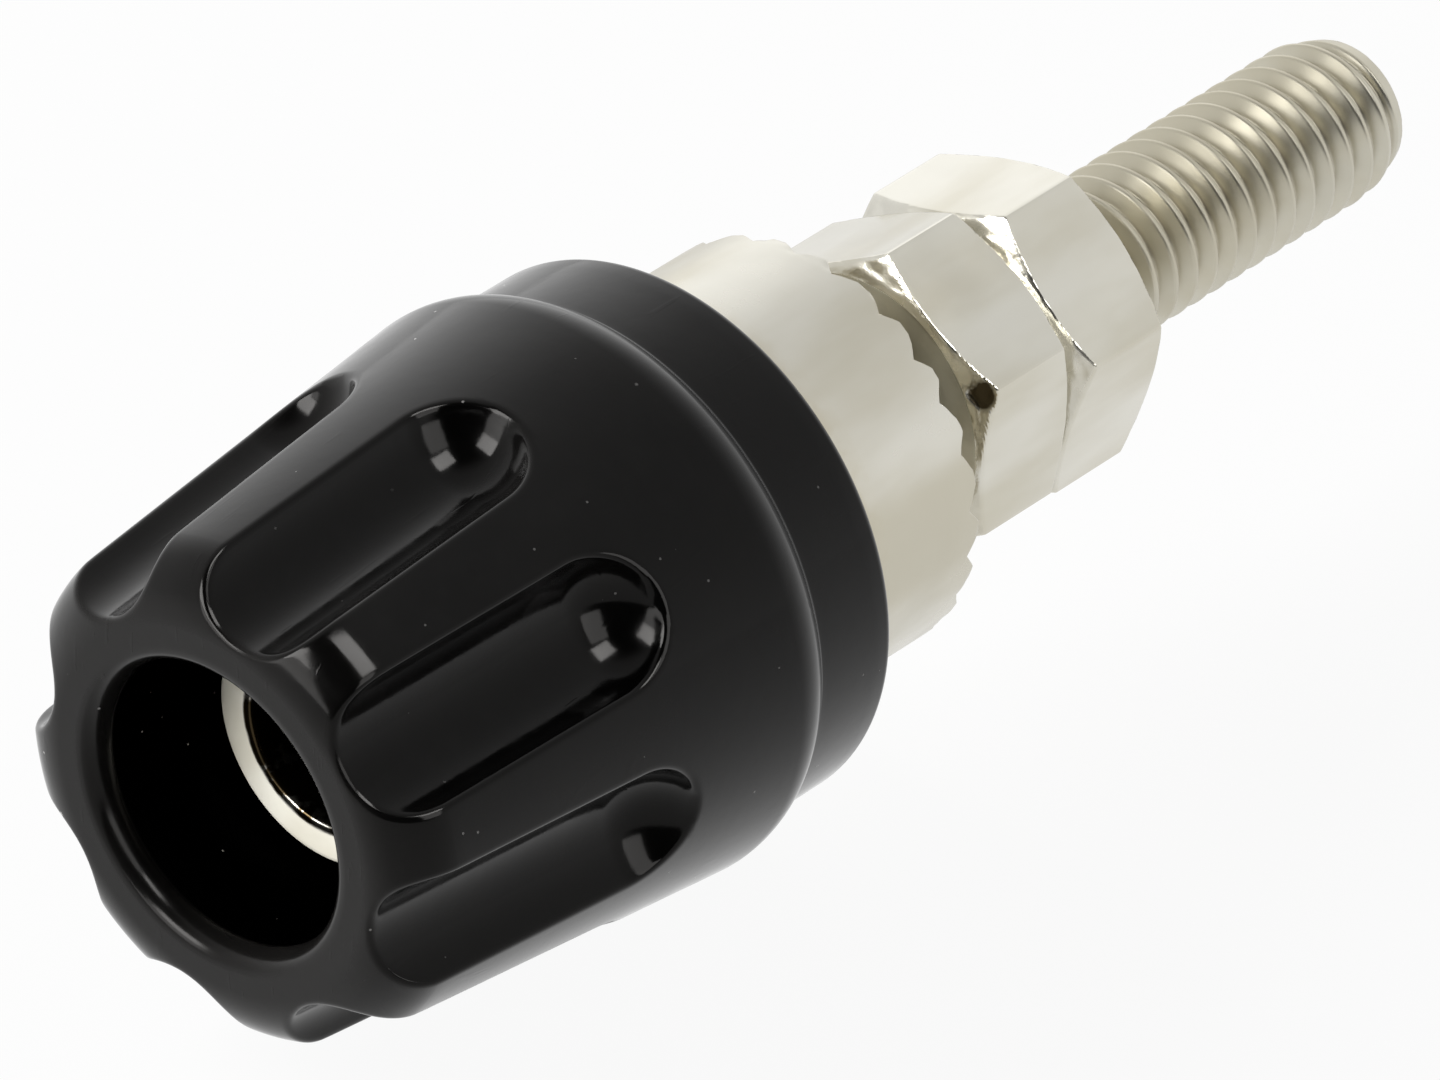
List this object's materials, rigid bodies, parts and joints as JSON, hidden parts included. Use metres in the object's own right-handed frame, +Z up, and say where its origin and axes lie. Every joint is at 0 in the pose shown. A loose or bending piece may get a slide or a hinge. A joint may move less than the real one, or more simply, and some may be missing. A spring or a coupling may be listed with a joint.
{
  "type": "panel binding post with plug socket",
  "caption": "Screw terminal for a panel: a fluted black cap around a plug socket, a wire hole under the cap, a toothed collar, and a threaded stud with hexagon nuts.",
  "frame": {"origin": "on the axis, in the plane of the collar's tooth tips, where the collar bites into the panel", "axes": "+Y along the axis towards the stud's end, behind the panel; the cap faces -Y; +Z up as on an upright panel"},
  "size_m": [0.0138, 0.0386, 0.0138],
  "materials": {
    "black_plastic": "glossy black moulding, a little duller on the front ring",
    "bare_brass": "bare turned brass",
    "nickel_post": "turned brass with warm satin nickel plating",
    "nickel_nut": "milled brass with warm satin nickel plating and small burrs"
  },
  "bodies": {
    "post": {"contact_post": "nickel_post", "panel_collar": "nickel_post", "fixing_stud": "nickel_post"},
    "bush": {"knob_bush": "bare_brass"},
    "knob": {"knob_cap": "black_plastic"},
    "panel_nut": {"panel_nut": "nickel_nut"},
    "lock_nut": {"lock_nut": "nickel_nut"}
  },
  "joints": [
    {"name": "knob_travel", "type": "slide", "parent": "post", "child": "bush", "axis": [0, -1, 0], "range_m": [0, 0.0045]},
    {"name": "knob_turn", "type": "hinge", "parent": "bush", "child": "knob", "pos_m": [0, 0, 0], "axis": [0, -1, 0], "range_deg": [0, 2160]},
    {"name": "panel_nut_travel", "type": "slide", "parent": "post", "child": "panel_nut", "axis": [0, 1, 0], "range_m": [-0.0019, 0]},
    {"name": "lock_nut_travel", "type": "slide", "parent": "post", "child": "lock_nut", "axis": [0, 1, 0], "range_m": [0, 0.0105]}
  ],
  "couplings": [
    {"joint": "knob_turn", "follows": "knob_travel", "rad_per_m": 8377.6}
  ]
}
